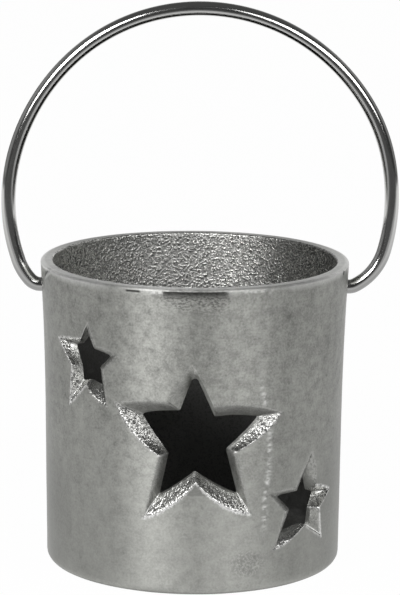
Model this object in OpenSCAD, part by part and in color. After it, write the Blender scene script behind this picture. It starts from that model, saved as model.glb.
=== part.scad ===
// Star tealight holder: a cast cup with bevelled star openings, and a bent wire bail that swings on it.
// Millimetres, +Z up. The base stands on z = 0, and the cup's axis is the Z axis.
// The stars face -Y, and the bail turns about a line along X.

/* [Cup] */
// outside diameter at the rim
rim_d = 86; // [84.5:0.5:88]
// outside diameter at the foot, measured before its edge is rounded
foot_d = 82.5; // [81:0.5:83.5]
// height of the cup
cup_h = 85.3; // [83:0.1:88]
// wall at the rim
rim_wall = 3.4; // [3:0.1:3.8]
// wall just above the floor
foot_wall = 4; // [3.4:0.1:4.6]
// thickness of the floor
floor_t = 4; // [3:0.1:6]
// how far the rim flares beyond the straight draft of the wall
flare = 1; // [0.6:0.1:1.3]
// height of the flared part, down from the rim
flare_h = 44; // [36:1:52]

/* [Cup edges] */
// round on the outer edge of the foot
foot_round = 2.2; // [0.8:0.1:3]
// round on the outer edge of the rim
rim_round = 0.8; // [0.4:0.1:1.2]
// round on the inner edge of the rim
lip_round = 0.5; // [0.3:0.1:1]
// round inside, where the wall meets the floor
floor_round = 4; // [2:0.5:8]

/* [Big star] */
// turn around the cup, to the right of its front
big_turn = 1.4; // [-4:0.2:4]
// height of the middle above the base
big_z = 42.8; // [40:0.1:44]
// middle to point, on the outside of the wall
big_r = 25.6; // [22:0.2:27]
// width of the bevel, from the outside of the wall to the opening inside
big_bevel = 3; // [2:0.1:3.6]

/* [Small stars] */
// turn of the left star around the cup
left_turn = -44.5; // [-56:0.5:-44]
// height of the left star's middle
left_z = 61.7; // [58:0.1:63]
// turn of the right star around the cup
right_turn = 48.4; // [46:0.2:56]
// height of the right star's middle
right_z = 22.3; // [20:0.1:26]
// lean of the right star, clockwise
right_lean = 7; // [0:1:14]
// middle to point, on the outside of the wall
small_r = 14; // [11:0.2:15]
// width of the bevel, from the outside of the wall to the opening inside
small_bevel = 2.1; // [1.4:0.1:2.5]

/* [Star shape] */
// middle to inner corner, as a share of middle to point
waist = 0.457; // [0.4:0.001:0.5]

/* [Bail] */
// diameter of the wire
wire_d = 4; // [3.4:0.1:4.4]
// how far the round bow reaches out beyond the start of the last bends, at the middle of the wire
bow_out = 10.3; // [9:0.1:13]
// how far the hand-bent bow sits to the right of the cup's axis
bow_shift = 1.2; // [0:0.1:2]
// radius of the bend from the bow towards the cup
shoulder_r = 16; // [12:0.5:20]
// how much nearer the shoulders bring the bow's centre to the last bends
shoulder_draw = 0.7; // [0.4:0.1:1.4]
// radius of the last bend, where the wire turns into the wall
heel_r = 4; // [3.4:0.1:5]
// how much thinner the wire is where the shoulder bend has stretched it
shoulder_thin = 0.05; // [0.03:0.01:0.1]

/* [Pins] */
// depth of the pins' line below the rim
pin_drop = 7.5; // [6:0.1:9]
// how far a pin stands out inside the cup
pin_reach = 2; // [1:0.1:4]
// play of a pin in its hole, across the diameter
pin_play = 0.18; // [0.1:0.02:0.2]
// gap between the wall and the start of the last bend
heel_gap = 0.4; // [0.2:0.1:0.8]

/* [Hidden] */
round_fn = 120;
edge_fn = 24;
flare_steps = 4;
wire_fn = 24;
bow_fn = 120;

// The outside of the wall: a straight draft, and above it a flare that grows with the square of the height.
rim_r = rim_d / 2;
foot_r = foot_d / 2;
draft = atan((rim_r - flare - foot_r) / cup_h);
wall_out = [cos(draft), -sin(draft)];
flare_z = cup_h - flare_h;
function wall_r(z) = foot_r + z * tan(draft) + flare * pow(max(0, z - flare_z) / flare_h, 2);
flare_line = [for (i = [0:flare_steps]) let (z = flare_z + flare_h * i / flare_steps) [wall_r(z), z]];
rim_way = flare_line[flare_steps] - flare_line[flare_steps - 1];
rim_slope = atan(rim_way.x / rim_way.y);

// The hollow: a straight taper from the rim down to the floor.
mouth_r = rim_r - rim_wall;
floor_r = wall_r(floor_t) - foot_wall;
taper = atan((mouth_r - floor_r) / (cup_h - floor_t));
hollow_out = [cos(taper), -sin(taper)];
function hollow_r(z) = floor_r + (z - floor_t) * tan(taper);

// Centres of the rounded edges of the cup's section.
foot_c = [foot_r - foot_round * tan(45 - draft / 2), foot_round];
rim_c = [rim_r - rim_round * tan(45 + rim_slope / 2), cup_h - rim_round];
rim_out = [cos(rim_slope), -sin(rim_slope)];
lip_c = [mouth_r + lip_round * tan(45 - taper / 2), cup_h - lip_round];
floor_c = [floor_r - floor_round * tan(45 - taper / 2), floor_t + floor_round];
// How far cutting shapes run past what they cut.
past = 2;
// How far a star's cutting shape runs out from the wall and in from it, as shares of the bevel's depth.
cut_out = 0.7;
cut_in = 1.4;

// The pins' line, the holes and the bends of the wire, with heights measured from the pins' line.
pin_z = cup_h - pin_drop;
hole_d = wire_d + pin_play;
heel_x = wall_r(pin_z) + heel_gap;
pin_tip_x = hollow_r(pin_z) - pin_reach;
bow_r = heel_x + bow_out;
bow_c = [bow_shift, heel_r + sqrt(pow(bow_r - heel_r - shoulder_draw, 2) - pow(heel_x + bow_shift, 2))];
function heel_c(side) = [side * heel_x, heel_r];
function heel_way(side) = (heel_c(side) - bow_c) / norm(heel_c(side) - bow_c);
function heel_far(side) = norm(heel_c(side) - bow_c);
function shoulder_along(side) = (pow(bow_r - shoulder_r, 2) - pow(shoulder_r - heel_r, 2)
    + pow(heel_far(side), 2)) / (2 * heel_far(side));
function shoulder_off(side) = sqrt(pow(bow_r - shoulder_r, 2) - pow(shoulder_along(side), 2));
function shoulder_c(side) = bow_c + shoulder_along(side) * heel_way(side)
    + side * shoulder_off(side) * [-heel_way(side).y, heel_way(side).x];
function angle_of(way) = atan2(way.y, way.x) + (way.x < 0 && way.y < 0 ? 360 : 0);
function shoulder_start(side) = angle_of(shoulder_c(side) - bow_c);
function heel_start(side) = angle_of(heel_c(side) - shoulder_c(side));
// How far the thinner shoulder runs on inside the wire beyond its ends, and the angle that this makes.
lap = 0.4;
shoulder_lap = lap / shoulder_r * 180 / PI;

// Points of a star. Corner i is a point of the star if i is even, and an inner corner if it is odd.
function spread(i, tip, lean) = (i % 2 == 0 ? tip : tip * waist)
    * [cos(90 + 36 * i - lean), sin(90 + 36 * i - lean)];
// Distance from a star's middle to the lines of its edges.
function edge_far(tip) = let (a = spread(0, tip, 0), b = spread(1, tip, 0))
    abs(a.x * b.y - a.y * b.x) / norm(a - b);
function wrapped(radius, middle_r, turn, p, z) = let (a = turn + p.x / middle_r * 180 / PI)
    [radius * sin(a), -radius * cos(a), z];
function on_wall(turn, z, p) = wrapped(wall_r(z + p.y), wall_r(z), turn, p, z + p.y);
function in_hollow(turn, z, p) = wrapped(hollow_r(z + p.y), hollow_r(z), turn, p, z + p.y);

// A shape left between a rounded edge and the sharp corner around it.
module corner(centre, radius, ends) {
    difference() {
        polygon(concat([centre], ends));
        translate(centre) circle(r = radius, $fn = edge_fn);
    }
}

module foot_corner() {
    corner(foot_c, foot_round, [
        foot_c - [0, foot_round + past],
        [foot_r + past, -past],
        foot_c + (foot_round + past) * wall_out
    ]);
}

module rim_corner() {
    corner(rim_c, rim_round, [
        rim_c + (rim_round + past) * rim_out,
        [rim_r + past, cup_h + past],
        rim_c + [0, rim_round + past]
    ]);
}

module lip_corner() {
    corner(lip_c, lip_round, [
        lip_c + [0, lip_round + past],
        [mouth_r - past, cup_h + past],
        lip_c - (lip_round + past) * hollow_out
    ]);
}

module floor_corner() {
    corner(floor_c, floor_round, [
        floor_c - [0, floor_round + past],
        [floor_r + past, floor_t - past],
        floor_c + (floor_round + past) * hollow_out
    ]);
}

module hollow_section() {
    difference() {
        polygon([
            [0, floor_t],
            [floor_r, floor_t],
            [hollow_r(cup_h + past), cup_h + past],
            [0, cup_h + past]
        ]);
        floor_corner();
    }
}

// Half of the cup's section, to be turned about Z.
module cup_section() {
    difference() {
        polygon(concat([[0, cup_h], [0, 0], [foot_r, 0]], flare_line));
        foot_corner();
        rim_corner();
        hollow_section();
        lip_corner();
    }
}

// What a star takes out of the wall: flat bevels that narrow from the outside of the wall to the inside.
// A point's edge runs from the star on the wall to the smaller star in the hollow.
// An inner corner's edge lies where the two bevels beside it meet.
module star_cut(turn, z, tip, bevel, lean) {
    opening = 1 - bevel / edge_far(tip);
    outer = [for (i = [0:9]) on_wall(turn, z, spread(i, tip, lean))];
    inner = [for (i = [0:9]) in_hollow(turn, z, opening * spread(i, tip, lean))];
    facing = [sin(turn), -cos(turn), 0];
    bevels = [for (i = [0:9]) let (j = (i + 1) % 10, t = i % 2 == 0 ? i : j)
        cross(outer[j] - outer[i], inner[t] - outer[t])];
    valleys = [for (i = [0:9]) cross(bevels[(i + 9) % 10], bevels[i])];
    ways = [for (i = [0:9]) i % 2 == 0 ? outer[i] - inner[i]
        : valleys[i] * rim_wall / (valleys[i] * facing)];
    front = [for (i = [0:9]) outer[i] + cut_out * ways[i]];
    back = [for (i = [0:9]) outer[i] - cut_in * ways[i]];
    front_middle = [0, 0, z] + (wall_r(z) + 5 * past) * facing;
    back_middle = [0, 0, z] + (hollow_r(z) - 5 * past) * facing;
    polyhedron(
        points = concat(front, back, [front_middle, back_middle]),
        faces = concat(
            [for (i = [0:9]) [i, (i + 1) % 10, 10 + (i + 1) % 10, 10 + i]],
            [for (i = [0:9]) [20, (i + 1) % 10, i]],
            [for (i = [0:9]) [21, 10 + i, 10 + (i + 1) % 10]]
        )
    );
}

module cup() {
    color([0.60, 0.60, 0.58])
    difference() {
        rotate_extrude($fn = round_fn) cup_section();
        translate([0, 0, pin_z]) rotate([0, 90, 0])
            cylinder(d = hole_d, h = rim_d + 2 * past, center = true, $fn = edge_fn);
        star_cut(big_turn, big_z, big_r, big_bevel, 0);
        star_cut(left_turn, left_z, small_r, small_bevel, 0);
        star_cut(right_turn, right_z, small_r, small_bevel, right_lean);
    }
}

// A bend of the wire about a centre in the bail's plane, from one angle on by another, counted up from +X.
module bend(centre, radius, from, by, thickness) {
    translate([centre.x, 0, pin_z + centre.y]) rotate([90, 0, 0]) rotate([0, 0, from])
        rotate_extrude(angle = by, $fn = bow_fn)
            translate([radius, 0]) circle(d = thickness, $fn = wire_fn);
}

// The shoulder bend, which runs a little way into the wire at each of its ends.
module shoulder(side) {
    first = min(shoulder_start(side), heel_start(side)) - shoulder_lap;
    last = max(shoulder_start(side), heel_start(side)) + shoulder_lap;
    bend(shoulder_c(side), shoulder_r, first, last - first, wire_d - shoulder_thin);
}

// The last bend and the straight pin that goes on from it through the wall.
module heel(side) {
    bend(heel_c(side), heel_r, -90, heel_start(side) - (side > 0 ? -90 : 270), wire_d);
    translate([side * heel_x, 0, pin_z]) rotate([0, -side * 90, 0])
        cylinder(d = wire_d, h = heel_x - pin_tip_x, $fn = wire_fn);
}

module bail() {
    color([0.78, 0.78, 0.77]) {
        bend(bow_c, bow_r, shoulder_start(1), shoulder_start(-1) - shoulder_start(1), wire_d);
        for (side = [1, -1]) {
            shoulder(side);
            heel(side);
        }
    }
}

cup();
bail();
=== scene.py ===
"""A star tealight holder, dressed for rendering: a sand-cast cup with star openings and a wire bail.

Shapes are worked out in millimetres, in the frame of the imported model, and put into the scene in metres.
"""

import math
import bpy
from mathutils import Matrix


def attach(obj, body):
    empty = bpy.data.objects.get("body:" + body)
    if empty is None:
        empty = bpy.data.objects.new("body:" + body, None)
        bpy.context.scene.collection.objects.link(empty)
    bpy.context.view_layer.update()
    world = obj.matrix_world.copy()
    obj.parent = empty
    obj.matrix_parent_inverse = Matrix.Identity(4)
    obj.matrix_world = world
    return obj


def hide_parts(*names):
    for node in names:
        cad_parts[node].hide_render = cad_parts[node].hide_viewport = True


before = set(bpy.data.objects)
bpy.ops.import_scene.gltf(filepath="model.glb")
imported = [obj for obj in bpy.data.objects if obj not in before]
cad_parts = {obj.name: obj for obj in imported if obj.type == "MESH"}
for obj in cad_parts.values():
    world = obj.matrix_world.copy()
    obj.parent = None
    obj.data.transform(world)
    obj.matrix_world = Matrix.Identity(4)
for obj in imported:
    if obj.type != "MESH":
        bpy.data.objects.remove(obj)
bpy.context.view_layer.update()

from types import SimpleNamespace

import bpy
import numpy as np
from bpy.props import FloatProperty, FloatVectorProperty, PointerProperty
from mathutils import Matrix, Vector, kdtree, noise
from mathutils.geometry import delaunay_2d_cdt

bl_info = {
    "name": "Star tealight holder",
    "version": (1, 0, 0),
    "blender": (4, 5, 0),
    "location": "3D View > Sidebar > Holder",
    "description": "Builds a cast tealight cup with star openings, its wire bail and a studio around them",
    "category": "Add Mesh",
}

MM = 0.001
# Radius at which distances around the cup are measured.
REF = 42.0
# Points in a full turn of the rim, the foot and the floor.
TURN = 360
# Marks kept on the cup's points: height of the cast grain, share of the wall's unevenness, look of the
# casting skin, polished edges with painted highlights, painted shade, and the inside of the cup.
MARKS = ("rough", "sway", "cast", "polish", "dull", "inside")


def length(name, description, mm):
    """A length that the user can change."""
    return FloatProperty(name=name, description=description, default=mm * MM, unit="LENGTH", precision=5)


def turn(name, description, degrees):
    """An angle that the user can change."""
    return FloatProperty(name=name, description=description, default=math.radians(degrees), unit="ROTATION")


def share(name, description, value):
    """A share from 0 to 1 that the user can change."""
    return FloatProperty(name=name, description=description, default=value, min=0, max=1, subtype="FACTOR")


def colour(name, description, rgb):
    """A colour that the user can change."""
    return FloatVectorProperty(
        name=name, description=description, default=rgb, min=0, max=1, subtype="COLOR",
    )


class CupSizes(bpy.types.PropertyGroup):
    """Sizes of the turned cup."""

    rim_d: length("Rim", "Outside diameter at the rim", 86)
    foot_d: length("Foot", "Outside diameter at the foot", 82.5)
    cup_h: length("Height", "Height of the cup", 85.3)
    rim_wall: length("Wall at the rim", "Thickness of the wall at the rim", 3.4)
    foot_wall: length("Wall at the floor", "Thickness of the wall just above the floor", 4)
    floor_t: length("Floor", "Thickness of the floor", 4)
    flare: length("Flare", "How far the rim flares beyond the draft of the wall", 1)
    flare_h: length("Flare height", "Height of the flared part, down from the rim", 44)
    foot_round: length("Foot round", "Round on the outer edge of the foot", 2.2)
    rim_round: length("Rim round", "Round on the outer edge of the rim", 0.8)
    lip_round: length("Lip round", "Round on the inner edge of the rim", 0.5)
    floor_round: length("Floor round", "Round where the wall meets the floor inside", 4)
    cast_grain: length("Cast grain", "Height of the cast grain inside the cup", 0.07)


class StarSizes(bpy.types.PropertyGroup):
    """Sizes and places of the three stars."""

    big_turn: turn("Big star", "Turn of the big star around the cup", 1.4)
    big_z: length("Big star height", "Height of the big star's middle", 42.8)
    big_r: length("Big star size", "Middle to point of the big star", 25.6)
    big_bevel: length("Big bevel", "Width of the big star's bevel", 3)
    left_turn: turn("Left star", "Turn of the left star around the cup", -44.5)
    left_z: length("Left star height", "Height of the left star's middle", 61.7)
    right_turn: turn("Right star", "Turn of the right star around the cup", 48.4)
    right_z: length("Right star height", "Height of the right star's middle", 22.3)
    right_lean: turn("Right star lean", "Lean of the right star, clockwise", 7)
    small_r: length("Small star size", "Middle to point of the small stars", 14)
    small_bevel: length("Small bevel", "Width of the small stars' bevel", 2.1)
    waist: share("Waist", "Middle to inner corner as a share of middle to point", 0.457)


class BailSizes(bpy.types.PropertyGroup):
    """Sizes of the bent wire."""

    wire_d: length("Wire", "Diameter of the wire", 4)
    bow_out: length("Bow reach", "How far the bow reaches out beyond the last bends", 10.3)
    bow_shift: length("Bow shift", "How far the bow sits to the right of the cup's axis", 1.2)
    shoulder_r: length("Shoulder", "Radius of the bend from the bow towards the cup", 16)
    shoulder_draw: length("Shoulder draw", "How much nearer the shoulders set the bow to the heels", 0.7)
    heel_r: length("Heel", "Radius of the last bend", 4)
    heel_gap: length("Heel gap", "Gap between the wall and the last bend", 0.4)
    pin_drop: length("Pin depth", "Depth of the pins below the rim", 7.5)
    pin_reach: length("Pin reach", "How far a pin stands out inside the cup", 2)
    pin_play: length("Pin play", "Play of a pin in its hole, across the diameter", 0.18)


class Finishes(bpy.types.PropertyGroup):
    """Colours of the metals and of the floor."""

    satin: colour("Satin", "Worked outside of the cup", (0.38, 0.383, 0.361))
    raw: colour("Raw", "Casting skin left as it came from the sand", (0.56, 0.56, 0.54))
    # Painted shade for the hollows of the grain, and for dull places.
    pit_shade: colour("Pits", "Hollows of the casting skin", (0.05, 0.05, 0.048))
    lining: colour("Lining", "Upper inside of the cup", (0.53, 0.53, 0.51))
    # Soot and painted shade on the lower inside.
    soot_and_shade: colour("Soot", "Lower inside of the cup", (0.34, 0.34, 0.33))
    # Edges ground bright; the same colour also paints highlights.
    bright: colour("Bright", "Edges worn or ground bright", (0.88, 0.88, 0.865))
    wire: colour("Wire", "Polished wire", (0.62, 0.62, 0.61))
    floor: colour("Floor", "Studio floor", (0.95, 0.95, 0.95))


def in_mm(group):
    """The values of a property group, with its lengths in millimetres."""
    values = SimpleNamespace()
    for key, prop in group.bl_rna.properties.items():
        if key in ("rna_type", "name"):
            continue
        value = getattr(group, key)
        setattr(values, key, value / MM if prop.unit == "LENGTH" else value)
    return values


class Form:
    """The cup's turned shape: radii of the wall and of the hollow at each height, and its rounded edges."""

    def __init__(self, cup):
        self.cup = cup
        self.foot_r = cup.foot_d / 2
        self.rim_r = cup.rim_d / 2
        self.slope = (self.rim_r - cup.flare - self.foot_r) / cup.cup_h
        self.flare_z = cup.cup_h - cup.flare_h
        self.mouth_r = self.rim_r - cup.rim_wall
        self.floor_r = self.wall_r(cup.floor_t) - cup.foot_wall
        self.taper = (self.mouth_r - self.floor_r) / (cup.cup_h - cup.floor_t)

    def wall_r(self, z):
        flared = np.maximum(0, z - self.flare_z) / self.cup.flare_h
        return self.foot_r + z * self.slope + self.cup.flare * flared**2

    def hollow_r(self, z):
        return self.floor_r + (z - self.cup.floor_t) * self.taper

    def place(self, radius, around, z):
        """Points at a distance around the cup, measured at REF, and at a height."""
        a = around / REF
        return np.stack([radius * np.sin(a), -radius * np.cos(a), z + 0 * a], -1)

    def meet(self, radius, start, way):
        """How far along its way each point of start reaches a radius."""
        low = np.full(len(start), -4.0)
        high = np.full(len(start), 2.0)
        for _ in range(50):
            middle = (low + high) / 2
            spot = start + middle[:, None] * way
            outside = np.hypot(spot[:, 0], spot[:, 1]) > radius(spot[:, 2])
            high = np.where(outside, middle, high)
            low = np.where(outside, low, middle)
        return middle

    def inset(self, radius, lean):
        """How far in from a corner the middle of its round is, where the side leans over."""
        return radius * math.tan(math.pi / 4 - lean / 2)

    def rounded(self, centre, radius, first, last, steps):
        """A round of the section as (radius, height) rows, between two directions in radians."""
        angles = np.linspace(first, last, steps)
        return [(centre[0] + radius * math.cos(a), centre[1] + radius * math.sin(a)) for a in angles]

    def outside_rows(self):
        """Rows from the middle of the base out to the foot of the wall."""
        cup = self.cup
        draft = math.atan(self.slope)
        centre = (self.foot_r - self.inset(cup.foot_round, draft), cup.foot_round)
        flat = [(r, 0.0) for r in np.linspace(8, centre[0] - 0.4, 5)]
        return flat + self.rounded(centre, cup.foot_round, -math.pi / 2, -draft, 6)

    def rim_rows(self):
        """Rows from the top of the wall over the rim to the top of the hollow."""
        cup = self.cup
        lean = math.atan(self.slope + 2 * cup.flare / cup.flare_h)
        taper = math.atan(self.taper)
        outer_r = self.rim_r - self.inset(cup.rim_round, -lean)
        inner_r = self.mouth_r + self.inset(cup.lip_round, taper)
        outer = (outer_r, cup.cup_h - cup.rim_round)
        inner = (inner_r, cup.cup_h - cup.lip_round)
        flat = [(outer_r + (inner_r - outer_r) * t, cup.cup_h) for t in (0.25, 0.5, 0.75)]
        return (
            self.rounded(outer, cup.rim_round, -lean, math.pi / 2, 6)
            + flat
            + self.rounded(inner, cup.lip_round, math.pi / 2, math.pi - taper, 5)
        )

    def floor_rows(self):
        """Rows from the foot of the hollow over its round to the middle of the floor."""
        cup = self.cup
        taper = math.atan(self.taper)
        bend_r = self.floor_r - self.inset(cup.floor_round, taper)
        centre = (bend_r, cup.floor_t + cup.floor_round)
        bend = self.rounded(centre, cup.floor_round, -taper, -math.pi / 2, 8)
        return bend + [(r, cup.floor_t) for r in np.linspace(bend_r - 1, 4, 11)]


def around_of(spots):
    """Distances around the cup from the front, measured at REF."""
    return np.arctan2(spots[..., 0], -spots[..., 1]) * REF


def full_turn():
    """Directions of the points of a full turn, in radians, 0 at the front."""
    return np.linspace(-math.pi, math.pi, TURN, endpoint=False)


def put(name, data):
    """Puts an object into the scene."""
    thing = bpy.data.objects.new(name, data)
    bpy.context.scene.collection.objects.link(thing)
    return thing


class Shell:
    """Points and faces of one mesh, with marks on its points."""

    def __init__(self):
        self.spots = np.zeros((0, 3))
        self.marks = {name: np.zeros(0) for name in MARKS}
        self.faces = []
        self.crisp = []

    def add(self, spots, **marks):
        """Adds points and returns their numbers, in the shape in which the points came."""
        spots = np.asarray(spots, float)
        shape = spots.shape[:-1]
        first = len(self.spots)
        self.spots = np.concatenate([self.spots, spots.reshape(-1, 3)])
        for name in MARKS:
            mark = np.broadcast_to(marks.get(name, 0.0), shape).ravel()
            self.marks[name] = np.concatenate([self.marks[name], mark])
        return np.arange(first, len(self.spots)).reshape(shape)

    def ring(self, radius, z, **marks):
        """A full turn of points."""
        a = full_turn()
        spots = np.stack([radius * np.sin(a), -radius * np.cos(a), np.full(TURN, z)], -1)
        return self.add(spots, **marks)

    def strip(self, rows):
        """Joins closed rows of points, each as long as the next, by bands of faces."""
        rows = np.asarray(rows)
        after = np.roll(rows, -1, axis=1)
        self.faces.append(np.stack([rows[:-1], after[:-1], after[1:], rows[1:]], -1).reshape(-1, 4))

    def fan(self, row, middle, flip=False):
        """Closes a row of points by triangles to one point in its middle."""
        after = np.roll(row, -1)
        pair = [after, row] if flip else [row, after]
        self.faces.append(np.stack([*pair, np.full(len(row), middle)], -1))

    def crease(self, row, where=slice(None)):
        """Makes the edges along a closed row crisp, all of them or only some."""
        self.crisp.append(np.stack([row, np.roll(row, -1)], 1)[where])

    def fill(self, loops, points, ids, flip=False):
        """Fills the first flat loop, less the others, by triangles over loose points, which ids number."""
        flat = np.concatenate([*loops, points])
        edges = []
        first = 0
        for loop in loops:
            count = len(loop)
            edges += [(first + k, first + (k + 1) % count) for k in range(count)]
            first += count
        found = delaunay_2d_cdt([Vector(p) for p in flat], edges, [], 0, 1e-7)
        kept = np.array([origin[0] for origin in found[3]])
        triangles = kept[np.array(found[2])]
        middle = flat[triangles].mean(axis=1)
        wanted = np.ones(len(triangles), bool)
        for hole in loops[1:]:
            wanted &= ~within(middle, hole)
        triangles = triangles[wanted]
        a, b, c = (flat[triangles[:, k]] for k in range(3))
        area = (b[:, 0] - a[:, 0]) * (c[:, 1] - a[:, 1]) - (b[:, 1] - a[:, 1]) * (c[:, 0] - a[:, 0])
        turned = (area < 0) != flip
        triangles[turned] = triangles[turned][:, ::-1]
        self.faces.append(ids[triangles])

    def normals(self):
        """Unit directions out of the surface at each point."""
        out = np.zeros_like(self.spots)
        for faces in self.faces:
            corners = self.spots[faces]
            across = corners[:, 2] - corners[:, 0]
            if faces.shape[1] == 4:
                normal = np.cross(across, corners[:, 3] - corners[:, 1])
            else:
                normal = np.cross(corners[:, 1] - corners[:, 0], across)
            for k in range(faces.shape[1]):
                np.add.at(out, faces[:, k], normal)
        return out / np.maximum(np.linalg.norm(out, axis=1), 1e-9)[:, None]

    def to_object(self, name, material, extra=()):
        """A mesh object in metres, with the marks as attributes."""
        mesh = bpy.data.meshes.new(name)
        faces = [face for part in self.faces for face in part.tolist()]
        mesh.from_pydata((self.spots * MM).tolist(), [], faces)
        mesh.polygons.foreach_set("use_smooth", np.ones(len(mesh.polygons), bool))
        for mark, values in [*self.marks.items(), *extra]:
            kind = "FLOAT_VECTOR" if values.ndim > 1 else "FLOAT"
            field = "vector" if values.ndim > 1 else "value"
            attribute = mesh.attributes.new(mark, kind, "POINT")
            attribute.data.foreach_set(field, values.astype(np.float32).ravel())
        if self.crisp:
            ends = np.zeros(len(mesh.edges) * 2, int)
            mesh.edges.foreach_get("vertices", ends)
            ends = np.sort(ends.reshape(-1, 2), axis=1)
            sharp = np.sort(np.concatenate(self.crisp), axis=1)
            size = len(self.spots)
            hits = np.isin(ends[:, 0] * size + ends[:, 1], sharp[:, 0] * size + sharp[:, 1])
            attribute = mesh.attributes.new("sharp_edge", "BOOLEAN", "EDGE")
            attribute.data.foreach_set("value", hits)
        mesh.validate()
        mesh.materials.append(material)
        return put(name, mesh)


def within(points, loop):
    """Which points lie inside a flat loop."""
    inside = np.zeros(len(points), bool)
    low, high = loop.min(axis=0), loop.max(axis=0)
    near = np.flatnonzero(((points > low) & (points < high)).all(axis=1))
    x, y = points[near].T
    odd = np.zeros(len(near), bool)
    for a, b in zip(loop, np.roll(loop, -1, axis=0)):
        if a[1] != b[1]:
            crosses = (a[1] > y) != (b[1] > y)
            odd ^= crosses & (x < a[0] + (y - a[1]) * (b[0] - a[0]) / (b[1] - a[1]))
    inside[near] = odd
    return inside


def lattice(low, high, step):
    """Even points over the unrolled wall between two heights, a little in from its edges."""
    wide = math.pi * REF
    rows = max(1, round((high - low) / (step * 0.866)))
    columns = round(2 * wide / step)
    points = []
    for k in range(1, rows):
        x = (np.arange(columns) + (0.25 if k % 2 else 0.75)) * 2 * wide / columns - wide
        points.append(np.stack([x, np.full(columns, low + (high - low) * k / rows)], 1))
    return np.concatenate(points)


def distances(points, loops):
    """How far each point is from the nearest point of the loops."""
    spots = np.concatenate(loops)
    tree = kdtree.KDTree(len(spots))
    for k, spot in enumerate(spots):
        tree.insert((*spot, 0), k)
    tree.balance()
    return np.array([tree.find((*p, 0))[2] for p in points])


def grain(spots, size, octaves=3, shift=0.0):
    """Rolling noise at each point, about -1 to 1, with features of a size in millimetres."""
    scaled = spots / size + shift
    return np.array([noise.fractal(Vector(p), 0.8, 2.1, octaves) for p in scaled])


def bell(far, width):
    """1 at no distance, fading to 0 over a width."""
    return np.exp(-((far / width) ** 2))


def eased(values, low, high):
    """0 up to low, 1 from high, and a smooth way between them."""
    t = np.clip((values - low) / (high - low), 0, 1)
    return t * t * (3 - 2 * t)


# How far each corner of a star was cut off its regular place, from the top point on, counterclockwise:
# around the cup and up, first on the wall and then in the hollow, in millimetres.
BIG_CORNERS = (
    (-1.5, -2.8, -0.7, 1.1), (-1.5, 2.2, 0.2, 1.8), (1.4, 2.0, 2.1, 1.4), (0.6, 0.0, 0.15, -1.0),
    (0.3, -0.75, 0.4, -0.55), (-0.3, 0.75, -0.5, -0.1), (0.0, 0.25, 0.7, -0.4), (-0.4, 1.2, 0.1, 0.2),
    (-0.25, -0.5, -0.2, 0.55), (-2.6, 1.1, -0.1, 0.1),
)
LEFT_CORNERS = (
    (1.3, -2.0, -1.2, -0.9), (2.2, 1.8, -1.5, 1.8), (0.9, 1.0, 1.0, 1.3), (0.3, 0.85, -0.75, -0.5),
    (1.1, -0.8, 0.8, 1.4), (0.3, 1.0, -0.8, -0.5), (-0.5, 0.9, -1.2, 1.5), (0.5, 1.5, -0.8, 1.0),
    (-2.0, 0.1, -1.5, 0.5), (0.3, 1.0, -1.2, 0.8),
)
RIGHT_CORNERS = (
    (0.5, 1.0, 0.6, 0.8), (-1.5, 0.1, 1.0, -0.3), (-1.3, -0.4, 0.2, -0.4), (-1.8, 0.7, 1.0, -0.5),
    (-2.2, -0.6, -0.4, -0.7), (0.2, 0.6, 2.2, -2.2), (1.1, 1.4, 0.5, -0.1), (0.8, 0.5, 1.9, -0.9),
    (-1.2, -0.8, -0.7, -0.4), (-0.2, 0.1, 1.3, 0.0),
)
# How each side of a star was left, from the side left of the top point on, counterclockwise: how far its
# outer edge is rolled over at its start, middle and end, how rough it is, how bright its outer edge is,
# how bright the crease at its start is, both ground bright and with a painted highlight, and how much
# painted highlight or, below 0, painted shade lies over the whole side.
CRISP = (0.02, 0.02, 0.02)
BIG_SIDES = (
    ((0.25, 0.15, 0.1), 0.0, 0, 0, -0.12),
    ((0.6, 0.3, 0.2), 0.1, 0, 0, -0.35),
    (CRISP, 1.0, 0.6, 0.5, -0.4),
    ((0.3, 0.4, 0.2), 0.12, 0, 0.9, -0.2),
    (CRISP, 1.0, 1.0, 1.0, 0.15),
    (CRISP, 0.9, 1.0, 0.8, 0.0),
    ((0.3, 0.5, 0.5), 0.12, 0, 0.6, -0.25),
    (CRISP, 1.0, 0.2, 0.6, 0.2),
    ((0.15, 0.2, 0.5), 0.1, 0, 0.3, -0.5),
    ((0.05, 0.2, 0.9), 0.05, 0, 0, 0),
)
LEFT_SIDES = (
    ((0.5, 0.5, 0.4), 0.3, 0.1, 0, 0),
    ((0.1, 0.1, 0.05), 0.7, 0.2, 0.4, -0.1),
    (CRISP, 0.9, 0.7, 0.7, -0.3),
    (CRISP, 0.7, 0.5, 0.6, 0.3),
    (CRISP, 0.8, 0.8, 1.0, 0.15),
    ((0.05, 0.1, 0.1), 0.6, 0, 0.5, -0.4),
    ((0.4, 0.5, 0.5), 0.15, 0, 0, -0.3),
    ((0.7, 0.8, 0.8), 0.1, 0, 0, -0.3),
    ((0.8, 0.7, 0.6), 0.1, 0, 0, -0.3),
    ((0.6, 0.6, 0.6), 0.1, 0, 0, -0.3),
)
RIGHT_SIDES = (
    ((0.4, 0.4, 0.5), 0.1, 0, 0, -0.3),
    ((0.6, 0.6, 0.7), 0.1, 0, 0, -0.3),
    ((0.7, 0.6, 0.5), 0.1, 0, 0, -0.3),
    ((0.4, 0.4, 0.4), 0.15, 0, 0, -0.3),
    ((0.5, 0.5, 0.3), 1.0, 0, 0.2, 0.3),
    ((0.1, 0.1, 0.05), 0.4, 0.4, 0, 0.2),
    (CRISP, 0.1, 0.7, 0.9, 0.05),
    (CRISP, 1.0, 0.1, 1.0, 0),
    ((0.05, 0.05, 0.1), 0.8, 0.6, 0.6, 0),
    ((1.0, 1.0, 1.0), 0.15, 0, 0, -0.1),
)
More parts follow.
